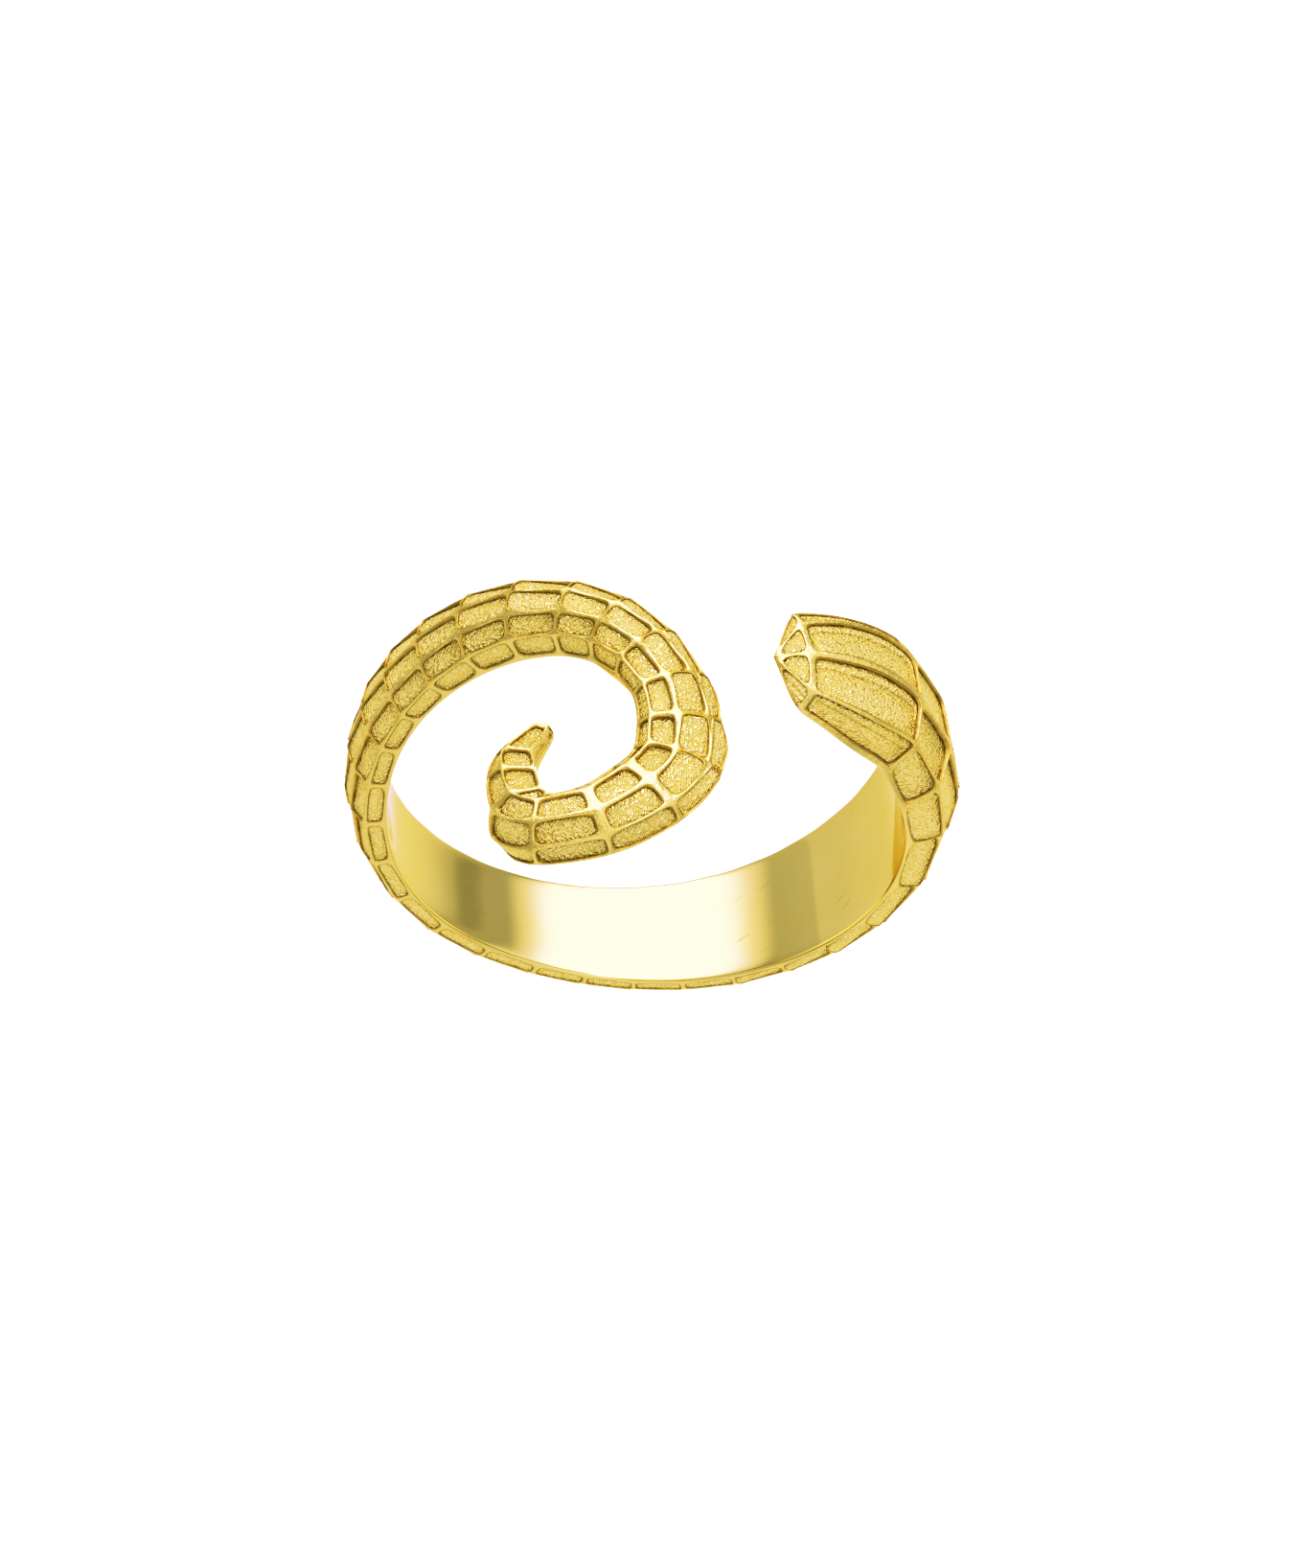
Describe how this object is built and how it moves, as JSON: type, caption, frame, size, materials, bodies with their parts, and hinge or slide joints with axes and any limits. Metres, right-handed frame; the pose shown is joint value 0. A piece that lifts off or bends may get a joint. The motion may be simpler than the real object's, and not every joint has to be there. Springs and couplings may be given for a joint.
{
  "type": "seahorse ring",
  "caption": "Open wrap ring shaped like a seahorse's tail: a ribbed band of sunk panels that narrows round the finger and curls forward to a small claw tip.",
  "frame": {"origin": "on the axis of the finger hole, at the level of the surface that the ring lies on", "axes": "+Z along the finger's axis, out of the face that the tail curls up from; -Y towards the curl; X across"},
  "size_m": [0.0205, 0.0199, 0.0126],
  "materials": {
    "gold": "gold plated: ribs and finger side polished, panels matte and finely grained"
  },
  "bodies": {
    "root": {"ring": "gold"}
  },
  "joints": []
}
